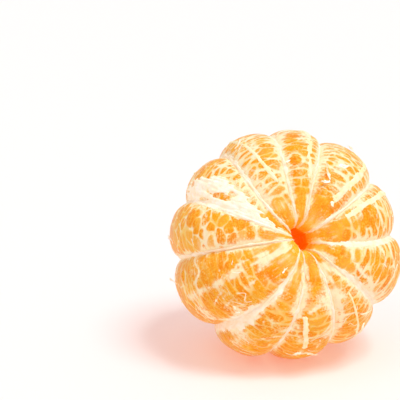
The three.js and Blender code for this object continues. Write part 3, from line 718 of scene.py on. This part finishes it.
# ---- pith along the grooves ------------------------------------------------------------------
# Soft white pith fills the bottom of each groove from the pad at the stem end to the core's mouth.
# It is spongy and torn where the peel came away, so its width wanders and it climbs the shoulders.

GROOVE_THICK = 0.34                          # height over the backs, in mm
GROOVE_ROUNDS = [-97, -60, 0, 20, 45, 65, 85, 105, 146]
# Half width of the pith in the groove before each segment, at those degrees round the side view.
GROOVE_WIDE = [
    [0.7, 0.6, 0.7, 1.0, 0.8, 0.5, 0.4, 0.35, 0.3],
    [0.7, 0.6, 0.6, 0.8, 0.6, 0.5, 0.4, 0.4, 0.3],
    [0.7, 0.6, 0.7, 0.6, 0.6, 0.6, 0.5, 0.6, 0.4],
    [0.7, 0.6, 0.6, 0.7, 0.9, 1.0, 0.9, 0.7, 0.3],
    [0.7, 0.6, 0.6, 0.9, 1.3, 1.0, 0.7, 0.4, 0.2],
    [0.7, 0.6, 0.6, 0.5, 0.5, 0.5, 0.4, 0.3, 0.12],
    [0.7, 0.6, 0.6, 0.5, 0.5, 0.5, 0.4, 0.3, 0.12],
    [0.7, 0.6, 0.8, 1.0, 1.9, 1.3, 0.7, 0.3, 0.15],
    [0.7, 0.6, 0.6, 0.6, 0.5, 0.4, 0.4, 0.4, 0.3],
    [0.7, 0.6, 0.6, 0.6, 0.6, 0.6, 0.5, 0.4, 0.3],
    [0.7, 0.6, 0.6, 0.7, 0.7, 0.6, 0.5, 0.4, 0.3],
]
GROOVE_RAGGED, GROOVE_ROOT = 0.6, 3.0        # how torn its edges are, and how deep it fills
GROOVE_BRIDGE = 0.35                         # how near a wall the backs' height is held, in mm
PITH_SINK = 0.35                             # how far pith is rooted under the backs
EDGE_DIVE = 0.20                             # how far its edges dive under the skin
EDGE_LONG, EDGE_SHORT = 1.3, 0.5             # lengths in mm over which its edges wander
EDGE_APART = 7.0                             # grains of noise between each edge and the middle line
GROOVE_STEPS, GROOVE_COLUMNS = 230, 15       # mesh steps along a groove and across its pith
FIBRE_LONG, FIBRE_WIDE = 1.6, 0.30           # size of its fibres in mm
GRAIN_LONG, GRAIN_WIDE = 0.7, 0.15           # and of the finer grain on them
PITH_EDGE = (0.87, 0.60, 0.22)               # where it is thin, the flesh shows through
PITH_CREAM, PITH_WHITE = (0.95, 0.77, 0.54), (0.97, 0.86, 0.71)
PITH_GLOW, GLOW_STRENGTH = (1.0, 0.62, 0.40), 0.13   # light that comes through from the flesh


def outward(points):
    """Unit direction to each point from the circle round the core at the crests' radius."""
    radius = from_core(points)[..., None]
    away = np.concatenate([points[..., :2] * (radius - CREST_RADIUS) / radius, points[..., 2:]], axis=-1)
    return away / np.linalg.norm(away, axis=-1, keepdims=True)


def pith_band(line, wide, thick, seed, columns=11, ragged=0.35, bridge=0.5, root=0.0, end=1.0):
    """Rings of a band of pith laid along a line of places on the backs, and their fullness.

    Across the band the height is a parabola, made fibrous by noise drawn out along the line. Its
    edges dive under the skin, and wander by noise of their own. The under side is sunk in the
    backs, deepest in the middle where there is a root, and both ends taper over the end's length.
    """
    around, angle = line.T
    middle = on_backs(around, angle, bridge)
    step = on_backs(around + 0.5, angle, bridge) - on_backs(around - 0.5, angle, bridge)
    scale = np.stack([np.linalg.norm(step, axis=1), np.radians(1) * from_core(middle)], axis=1)
    along = np.gradient(line, axis=0) * scale
    along /= np.linalg.norm(along, axis=1, keepdims=True)
    aside = np.stack([-along[:, 1], along[:, 0]], axis=1) / scale
    run = np.concatenate([[0], np.cumsum(np.linalg.norm(np.diff(middle, axis=0), axis=1))])[:, None]
    taper = smooth(0, end, run) * smooth(0, end, run[-1] - run)
    over, under = np.linspace(-1, 1, columns), np.linspace(1, -1, 5)
    share = np.concatenate([over, under])[None]
    side = np.sign(share) * EDGE_APART
    wander = flat_noise(run / EDGE_LONG, side, seed) + 0.6 * flat_noise(run / EDGE_SHORT, side, seed)
    width = np.reshape(wide, (-1, 1)) * (1 + ragged * np.maximum(wander, -0.4)) * (0.3 + 0.7 * taper)
    places = line[:, None] + aside[:, None] * (share * width)[..., None]
    base = on_backs(places[..., 0], places[..., 1], bridge)
    away = outward(base)
    sideways = over * width[:, :columns]
    fibres = flat_noise(run / FIBRE_LONG, sideways / FIBRE_WIDE, seed + 1)
    grains = flat_noise(run / GRAIN_LONG, sideways / GRAIN_WIDE, seed + 2)
    dome = (1 - over ** 2) * (0.85 + 0.6 * fibres) + 0.16 * grains
    height = thick * dome * taper - EDGE_DIVE * np.maximum(over ** 2, 1 - taper)
    top = base[:, :columns] + away[:, :columns] * height[..., None]
    depth = PITH_SINK * (1 + root * (1 - under ** 2))
    bottom = base[:, columns:] - away[:, columns:] * depth[None, :, None]
    body = np.concatenate([np.clip(dome * taper, 0, 1), 0 * bottom[..., 0]], axis=1)
    return keep_above(np.concatenate([top, bottom], axis=1), 0.05), body


def pith_piece(name, skins, material):
    """Bands or sheets of pith as one piece. Each comes with its fullness, which tints its edges."""
    rings, body = zip(*skins)
    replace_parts(skin_object(name, rings, material, "pith", body=body), "pith_web")


def pith_finish(name, cream, white, glow=GLOW_STRENGTH):
    """Matte spongy pith: two whites in soft patches, tinted where it is thin, with fine fibres."""
    look = Look(name)
    full = look.mix(look.eased(look.grains(1.6), 0.3, 0.7), cream, white)
    thick = look.eased(look.total(look.number("body"), (look.grains(0.4), 0.5)), 0.2, 0.8)
    return look.finish({
        "Base Color": look.mix(thick, PITH_EDGE, full),
        "Emission Color": PITH_GLOW,
        "Emission Strength": glow,
        "Roughness": 0.65,
        "Specular IOR Level": 0.3,
        "Normal": look.relief(look.grains(0.3, 4.0), 0.8, 0.2)})


def groove_line(index):
    """The line of a groove's bottom: the groove's angle at its own radius, settled in three rounds."""
    around = np.linspace(GROOVE_ROUNDS[0], GROOVE_ROUNDS[-1], GROOVE_STEPS)
    radius = side_view(np.full(len(around), index), around)[0]
    for _ in range(3):
        angle = groove_angle(index, radius)
        radius = from_core(on_backs(around, angle, GROOVE_BRIDGE))
    return np.stack([around, groove_angle(index, radius)], axis=1)


groove_pith = pith_finish("groove_pith", PITH_CREAM, PITH_WHITE)
bands = []
for index in range(COUNT):
    line = groove_line(index)
    wide = np.interp(line[:, 0], GROOVE_ROUNDS, GROOVE_WIDE[index])
    bands.append(pith_band(line, wide, GROOVE_THICK, 40 + 3 * index, GROOVE_COLUMNS,
                           GROOVE_RAGGED, GROOVE_BRIDGE, GROOVE_ROOT))
pith_piece("pith_grooves", bands, groove_pith)

# ---- strands up the backs --------------------------------------------------------------------
# A bundle of pith ran up the middle of each back, under the peel. It is drier and yellower than
# the pith in the grooves, stands proud of the back, and is torn off short of the core's mouth.

BACK_THICK = 0.30                            # height over the backs, in mm
FAR_END_WIDTH = 0.55                         # a strand's width at the stem end over its full width
FAR_END_PLACES = [-60, 30]                   # the places between which it widens
STRAND_STEPS, STRAND_TAPER = 150, 1.6        # mesh steps along it, and the length of its ends in mm
STRAND_YELLOW, STRAND_PALE = (0.92, 0.76, 0.38), (0.95, 0.87, 0.62)

# Half width of each strand, and its stops as places.
BACK_STRANDS = [
    (0.95, [[-96, 3], [-45, 6], [0, 9], [31, 11], [54, 9.4], [70, 8.4], [82, 9.4]]),
    (1.15, [[-96, 36], [-45, 37], [8, 41], [33, 46], [58, 46], [70, 44.6], [82, 43], [96, 39.4]]),
    (0.95, [[-96, 78], [-45, 71], [0, 67], [43, 64.6], [70, 64.7], [84, 66.3], [94, 67.6]]),
    (0.34, [[-96, 114], [-45, 111], [0, 112], [24, 114]]),
    (0.44, [[-96, 145], [-45, 147], [20, 148], [44, 146.4], [60, 144.4], [74, 141.5]]),
    (0.50, [[-96, 168], [-82, 170], [-66, 172]]),
    (0.50, [[-96, 196], [-65, 202], [-48, 205]]),
    (0.34, [[-96, 233], [-45, 240], [-6, 243]]),
    (0.45, [[-96, 278], [-50, 281], [-18, 280]]),
    (0.45, [[-96, 301], [-45, 308], [0, 311]]),
    (0.70, [[-96, 330], [-45, 334], [20, 333.6], [49, 334.5], [65, 335], [81, 337.5]]),
    (0.78, [[34, 178.6], [44, 179.2], [54, 180.1], [69, 182.3]]),
    (0.40, [[84, 181], [97, 186], [112, 184]]),
]

strand_pith = pith_finish("strand_pith", STRAND_YELLOW, STRAND_PALE)
bands = []
for k, (wide, stops) in enumerate(BACK_STRANDS):
    line = smooth_line(stops, STRAND_STEPS)
    wide = wide * np.interp(line[:, 0], FAR_END_PLACES, [FAR_END_WIDTH, 1])
    bands.append(pith_band(line, wide, BACK_THICK, 90 + 3 * k, end=STRAND_TAPER))
pith_piece("pith_back_strands", bands, strand_pith)

# ---- fine fibres -----------------------------------------------------------------------------
# Hair-thin threads of pith run over the sacs, and about half of them leave a groove. They are
# strewn over every back, and each lies where it happened to stay when the peel came off.

FIBRE_THICK = 0.12                           # height over the backs, in mm
FIBRES_A_SEGMENT = 8
FIBRE_STEPS, FIBRE_COLUMNS = 44, 5           # mesh steps along a fibre and across it
FIBRE_RAGGED, FIBRE_TAPER = 0.5, 0.8         # how torn its edges are, and its ends' length in mm


def strewn_fibres(index):
    """Threads that wander across a back, whole or in part, each by a draw of its own."""
    draw = np.random.default_rng(700 + index)
    threads = []
    for _ in range(FIBRES_A_SEGMENT):
        around, slant = draw.uniform(-70, 62), draw.uniform(-14, 14)
        if draw.random() < 0.5:
            first, last = sorted(draw.uniform(-0.8, 0.8, 2))
        else:
            first, last = -0.9, draw.uniform(0.0, 0.8)
        across = np.linspace(first, last, 4)
        middle, half = spread(index, side_view(index, np.array(around))[0])
        bends = around + slant * across + draw.uniform(-3, 3, 4)
        threads.append((draw.uniform(0.09, 0.16), np.stack([bends, middle + half * across], axis=1)))
    return threads


threads = [thread for index in range(COUNT) for thread in strewn_fibres(index)]
bands = []
for k, (wide, stops) in enumerate(threads):
    line = smooth_line(stops, FIBRE_STEPS)
    bands.append(pith_band(line, wide, FIBRE_THICK, 200 + 3 * k, FIBRE_COLUMNS, FIBRE_RAGGED,
                           end=FIBRE_TAPER))
pith_piece("pith_fibres", bands, groove_pith)

# ---- the broad patch -------------------------------------------------------------------------
# On the tenth segment a whole sheet of pith stayed on when the peel was pulled off. It is thick
# by the groove and thins to a torn edge, with small windows where the orange shows through.

PATCH_STEPS, PATCH_COLUMNS = 170, 62         # mesh steps along it and across it
PATCH_THICK = 0.40                           # height over the backs, in mm
PATCH_PLATEAU, PATCH_DIP, PATCH_ROUGH = 1.15, 0.35, 0.75   # its level, what is taken off, its noise
PATCH_LOWEST, PATCH_HIGHEST = -0.45, 1.1     # where the height is cut off
PATCH_CREAM, PATCH_WHITE, PATCH_GLOW = (0.95, 0.80, 0.58), (0.97, 0.92, 0.81), 0.20
PATCH_ROUNDS = [-6, 4, 20, 38, 54, 66, 81, 100, 124]           # places along the patch
PATCH_UPPER = [301, 303, 308, 312, 313, 313, 308, 301, 295]    # its torn edge, degrees round the core
PATCH_LOWER = [295, 294, 293, 291.5, 290, 289.5, 289, 288.5, 289]  # its edge in the groove
# Windows: place, half length along the segment and half width, in degrees, and depth.
PATCH_WINDOWS = [
    (55.5, 300.6, 7.5, 2.0, 1.9), (61.5, 304.2, 3.6, 2.2, 1.4), (15, 303, 3.5, 1.5, 1.6),
    (76, 306.0, 3.6, 1.4, 1.4), (62, 309.5, 3, 1.2, 0.8), (90, 300, 5, 2.6, 1.2),
    (34, 296, 5, 1.0, 0.8), (98, 304, 5, 2.6, 1.0),
]
PATCH_GRAINS = [(0.30, 1.1, 52), (0.20, 0.5, 53)]   # layers of noise: amount, grain in mm and seed
# Streaks along it: amount, length in degrees, width in mm and seed.
PATCH_STREAKS = [(0.7, 12.0, 0.55, 51), (0.4, 5.0, 0.30, 54)]


def patch_rings():
    """The patch as a sheet from its edge in the groove to its torn edge, and its fullness.

    Its height is a plateau that falls to both edges and both ends, less the windows, plus streaks
    along the segment and grains. Where the height is below zero the sheet dives into the back.
    """
    along = np.linspace(PATCH_ROUNDS[0], PATCH_ROUNDS[-1], PATCH_STEPS)[:, None]
    share = np.linspace(0, 1, PATCH_COLUMNS)[None]
    lower, upper = (np.interp(along, PATCH_ROUNDS, edge) for edge in (PATCH_LOWER, PATCH_UPPER))
    angle = lower + (upper - lower) * share
    around = along + 0 * share
    base = on_backs(around, angle, GROOVE_BRIDGE)
    size = from_core(base) * np.radians(angle - lower)
    rough = layered(base, PATCH_GRAINS)
    for amount, long, wide, seed in PATCH_STREAKS:
        rough += amount * flat_noise(around / long, size / wide, seed)
    plateau = smooth(0, 0.12, share) * smooth(1.0, 0.70, share)
    plateau = plateau * smooth(PATCH_ROUNDS[0], 6, around) * smooth(PATCH_ROUNDS[-1], 92, around)
    height = PATCH_PLATEAU * plateau - PATCH_DIP + PATCH_ROUGH * rough
    for at, turn, long_half, wide_half, depth in PATCH_WINDOWS:
        away = ((around - at) / long_half) ** 2 + ((angle - turn) / wide_half) ** 2
        height -= depth * np.exp(-away ** 2)
    lift = PATCH_THICK * np.clip(height, PATCH_LOWEST, PATCH_HIGHEST)
    away = outward(base)
    under = slice(None, None, -6)
    sunk = (base - away * 2 * PITH_SINK)[:, under]
    body = np.concatenate([np.clip(1.3 * height, 0, 1), 0 * sunk[..., 0]], axis=1)
    return np.concatenate([base + away * lift[..., None], sunk], axis=1), body


patch_pith = pith_finish("patch_pith", PATCH_CREAM, PATCH_WHITE, PATCH_GLOW)
pith_piece("pith_patch", [patch_rings()], patch_pith)

# ---- the pad at the stem end -----------------------------------------------------------------
# The fruit hung by its stem here. A round pad of thick white pith stayed on, with a pit where the
# stem was. Its edge is drawn out into the grooves, and folds run from the pit to its rim.

PAD_RADIUS, PAD_RIM, PAD_RISE = 7.6, 19.6, 2.6   # mean radius, the rim's depth, the middle's rise
PIT_WIDE, PIT_DEEP = 1.1, 1.3
LOBE_ANGLE, LOBE_DROP, FOLD_HEIGHT = 60, 0.5, 0.34   # lobes' spread in degrees squared, sizes in mm
PAD_TURNS, PAD_RINGS = 264, 46                   # mesh steps round it, and out to its rim
PAD_GRAINS = [(0.12, 1.6, 61), (0.07, 0.6, 62)]   # layers of noise: amount, grain in mm and seed


def pad_rings():
    """The pad as nested rings, from the middle of its back to its rim and in again below.

    Its height is a dome less a pit in the middle, with folds toward the grooves and two sizes of
    noise. Its radius is drawn out toward each groove.
    """
    turn = np.linspace(0, 360, PAD_TURNS, endpoint=False)[None]
    share = np.linspace(0.01, 1, PAD_RINGS)[:, None]
    grooves = np.array([groove_angle(k, CREST_RADIUS) for k in range(COUNT)])[:, None, None]
    from_groove = (turn - grooves + 180) % 360 - 180
    lobes = np.exp(-from_groove ** 2 / LOBE_ANGLE).sum(axis=0)
    wander = flat_noise(np.cos(np.radians(turn)) * 5, np.sin(np.radians(turn)) * 5, 63)
    reach = PAD_RADIUS * (1 + 0.20 * (lobes - 0.4) * share ** 2 + 0.10 * wander * share) * share
    flat = fruit_point(reach, turn, 0)
    folds = flat_noise(turn / 7.5, reach / 5.0, 64) * share
    height = PAD_RIM + PAD_RISE * (1 - share ** 3) - PIT_DEEP * np.exp(-(reach / PIT_WIDE) ** 2)
    height = height - LOBE_DROP * lobes * share ** 2 + FOLD_HEIGHT * folds
    height = height + layered(flat, PAD_GRAINS)
    back = fruit_point(reach, turn, -height)
    front = fruit_point(reach * 0.97, turn, 1.5 - PAD_RIM)
    rings = np.concatenate([back, front[::-6]])[:, ::-1]
    body = 1 - 0.8 * np.exp(-(reach / PIT_WIDE / 0.8) ** 2) + 0.5 * folds - 0.5 * smooth(0.75, 1.0, share)
    return rings, np.concatenate([np.clip(body, 0, 1), 0 * front[::-6, :, 0]])[:, ::-1]


pith_piece("pith_pad", [pad_rings()], patch_pith)

# ---- loose flakes and hairs ------------------------------------------------------------------
# Small torn scraps of pith still hang on where the peel was pulled off. Each is thin, dry and
# white, is rooted in the pith or the back under it, and its free end stands off. One small white
# flake on the first segment's fat sac stands in for a glint there: a painted highlight.

FLAKE_GLOW = 0.35                            # light comes through a scrap from behind
# Each flake: root place, direction it points in degrees (0 round the core, 90 toward the open
# end), length, half width, and how far its free end stands off, in mm.
FLAKES = [
    (60, 30, 200, 2.6, 0.6, 0.5), (76, 27, 300, 3.2, 0.45, 1.0), (77, 28, 30, 2.2, 0.4, 0.8),
    (93, 39, 160, 1.3, 0.5, 0.4), (84, 68, 330, 2.0, 0.12, 0.7),
    (26, 40, 20, 3.0, 0.55, 0.9), (28, 330, 180, 2.2, 0.5, 1.4), (34, 330, 150, 1.6, 0.35, 1.2),
    (5, 272, 190, 1.8, 0.12, 1.2), (2, 252, 200, 1.9, 0.12, 1.2), (50, 223, 250, 1.3, 0.4, 0.4),
    (50, 226, 150, 1.1, 0.35, 0.4), (66, 248, 60, 1.8, 0.14, 0.8), (66, 252, 130, 1.5, 0.14, 0.6),
    (96, 216, 80, 1.6, 0.3, 0.4), (26, 176, 10, 2.2, 0.5, 0.7), (31, 180, 190, 2.0, 0.6, 0.5),
    (48, 143, 350, 2.4, 0.14, 0.6), (56, 111, 80, 2.0, 0.16, 0.6), (38, 78, 100, 1.8, 0.3, 0.6),
    (-30, 40, 60, 2.4, 0.4, 0.9), (-52, 200, 200, 2.4, 0.4, 0.8), (-40, 282, 90, 2.2, 0.5, 0.8),
    (-60, 120, 300, 2.2, 0.35, 0.8), (-66, 330, 120, 2.0, 0.3, 0.7), (-50, 310, 70, 2.0, 0.5, 0.8),
    # the first flake on this line stands in for a glint on the fat sac by it: a painted highlight
    (64, 355, 15, 1.7, 0.3, 0.3), (36, 143, 235, 3.4, 0.5, 0.5),
]


def flake_rings(root, seed):
    """A torn scrap: a thin tongue that leaves its root place and curls off the back.

    Its middle line bows to one side and lifts by a power of the share of its length. Its half
    width swells a little, then narrows to a torn tip, and it is cupped across.
    """
    around, angle, heading, length, wide, stand = root
    base = on_backs(around, angle)
    away = outward(base)
    toward_end = on_backs(around + 1, angle) - on_backs(around - 1, angle)
    toward_end /= np.linalg.norm(toward_end)
    round_core = np.cross(toward_end, away)
    turn = np.radians(heading)
    ahead = np.cos(turn) * round_core + np.sin(turn) * toward_end
    aside = np.cross(away, ahead)
    share = np.linspace(0, 1, 18)[:, None]
    across = np.linspace(-1, 1, 9)[None]
    width = wide * (0.5 + 1.2 * share) * np.sqrt(np.maximum(1 - share, 0.01))
    broad, narrow = flat_noise(5 * share, 2 * across, seed), flat_noise(11 * share, 3 * across, seed)
    width = width * (1 + 0.5 * broad + 0.3 * narrow)
    bow = 0.10 * length * np.sin(2.2 * share + seed)
    run = share * length * (1 + 0.30 * flat_noise(share, 3.5 * across, seed))
    lift = stand * share ** 1.6 + 0.25 * wide * across ** 2 * share + 0.08
    middle = base + run[..., None] * ahead + (bow + across * width)[..., None] * aside
    sheet = middle + (lift - 0.02 * run ** 2)[..., None] * away
    half = (0.05 * np.sqrt(1 - 0.9 * across ** 2) * (1.3 - share))[..., None] * away
    rings = np.concatenate([sheet + half, (sheet - half)[:, ::-1]], axis=1)
    return rings, 0 * rings[..., 0] + 1


flakes = [flake_rings(root, 300 + k) for k, root in enumerate(FLAKES)]
flake_pith = pith_finish("flake_pith", PATCH_CREAM, PATCH_WHITE, FLAKE_GLOW)
pith_piece("pith_flakes", flakes, flake_pith)

# ---- the setting -----------------------------------------------------------------------------
# A plain white table under soft studio light, seen from a little above.

VIEW_AZIMUTH, VIEW_ELEVATION = 13.2, 16.03   # where the camera stands round the fruit, in degrees
VIEW_DISTANCE = 0.280                        # from the fruit's middle, in metres
FOCAL_PIXELS, FRAME_PIXELS = 1095.0, 400.0   # focal length and the frame's side, in pixels
MIDDLE_PIXEL = (284.0, 243.0)                # where the fruit's middle falls in the frame
TABLE_SIDE = 6.0                             # in metres
TABLE_PAINT, TABLE_GLOW = (0.48, 0.70, 0.72), (1.0, 0.38, 0.32)   # together they look white where lit; in the fruit's shadow the red glow stays, a painted rose tint
TABLE_LIGHT = 0.55                           # light that comes up through the table
WORLD_LIGHT = 0.56                           # even white light from all round
# Each light: the direction it comes from, the angle it fills in degrees, and its strength.
LIGHTS = {
    "overhead": ((0.30, -0.34, 0.89), 25, 1.65),
    "sparkle": ((0.20, -0.28, 0.94), 6, 0.25),
    "front": ((-0.60, -0.35, 0.50), 60, 0.35),
}
SENSOR = 36.0                                # width of the camera's sensor in mm


def aim_camera():
    """A level camera, turned so that the fruit's middle falls on its pixel.

    The direction to the middle is (right, up, ahead) = the pixel's offset over the focal length.
    The pitch solves its height, and the turn then solves its heading.
    """
    azimuth, elevation = np.radians(VIEW_AZIMUTH), np.radians(VIEW_ELEVATION)
    level = np.array([-np.sin(azimuth), -np.cos(azimuth), 0])
    back = level * np.cos(elevation) + np.array([0, 0, np.sin(elevation)])
    half = FRAME_PIXELS / 2
    offset = np.array([MIDDLE_PIXEL[0] - half, half - MIDDLE_PIXEL[1], FOCAL_PIXELS])
    right, up, ahead = offset / np.linalg.norm(offset)
    pitch = np.arcsin(-back[2] / np.hypot(up, ahead)) - np.arctan2(up, ahead)
    forward = ahead * np.cos(pitch) - up * np.sin(pitch)
    heading = np.arctan2(-back[1], -back[0]) - np.arctan2(forward, right)
    camera = bpy.data.objects.new("camera", bpy.data.cameras.new("camera"))
    bpy.context.scene.collection.objects.link(camera)
    camera.location = MIDDLE * 0.001 + back * VIEW_DISTANCE
    camera.rotation_euler = (np.pi / 2 + pitch, 0, heading)
    camera.data.sensor_width = SENSOR
    camera.data.lens = SENSOR * FOCAL_PIXELS / FRAME_PIXELS
    camera.data.clip_start = 0.01
    bpy.context.scene.camera = camera


def soft_light(name, away, fills, strength):
    """A wide far light that shines from a direction and fills an angle of the sky."""
    data = bpy.data.lights.new(name, "SUN")
    data.angle, data.energy = np.radians(fills), strength
    light = bpy.data.objects.new(name, data)
    light.rotation_euler = Vector(away).to_track_quat("Z", "Y").to_euler()
    bpy.context.scene.collection.objects.link(light)


def plain_world(strength):
    """Even white light from all round."""
    world = bpy.data.worlds.new("studio")
    world.use_nodes = True
    world.node_tree.nodes["Background"].inputs["Color"].default_value = (1, 1, 1, 1)
    world.node_tree.nodes["Background"].inputs["Strength"].default_value = strength
    bpy.context.scene.world = world


def white_table():
    """A wide flat table under the fruit: bluish matte paint and a faint red glow from below, white where
    lit, with a painted rose tint in its shadows.
    """
    side = TABLE_SIDE / 2
    mesh = bpy.data.meshes.new("table")
    mesh.from_pydata([(-side, -side, 0), (side, -side, 0), (side, side, 0), (-side, side, 0)],
                     [], [(0, 1, 2, 3)])
    mesh.materials.append(Look("white_table").finish({
        "Base Color": TABLE_PAINT,
        "Emission Color": TABLE_GLOW,
        "Emission Strength": TABLE_LIGHT,
        "Roughness": 0.6}))
    table = bpy.data.objects.new("table", mesh)
    bpy.context.scene.collection.objects.link(table)


aim_camera()
plain_world(WORLD_LIGHT)
for name, (away, fills, strength) in LIGHTS.items():
    soft_light(name, away, fills, strength)
white_table()
bpy.context.scene.view_settings.view_transform = "Standard"
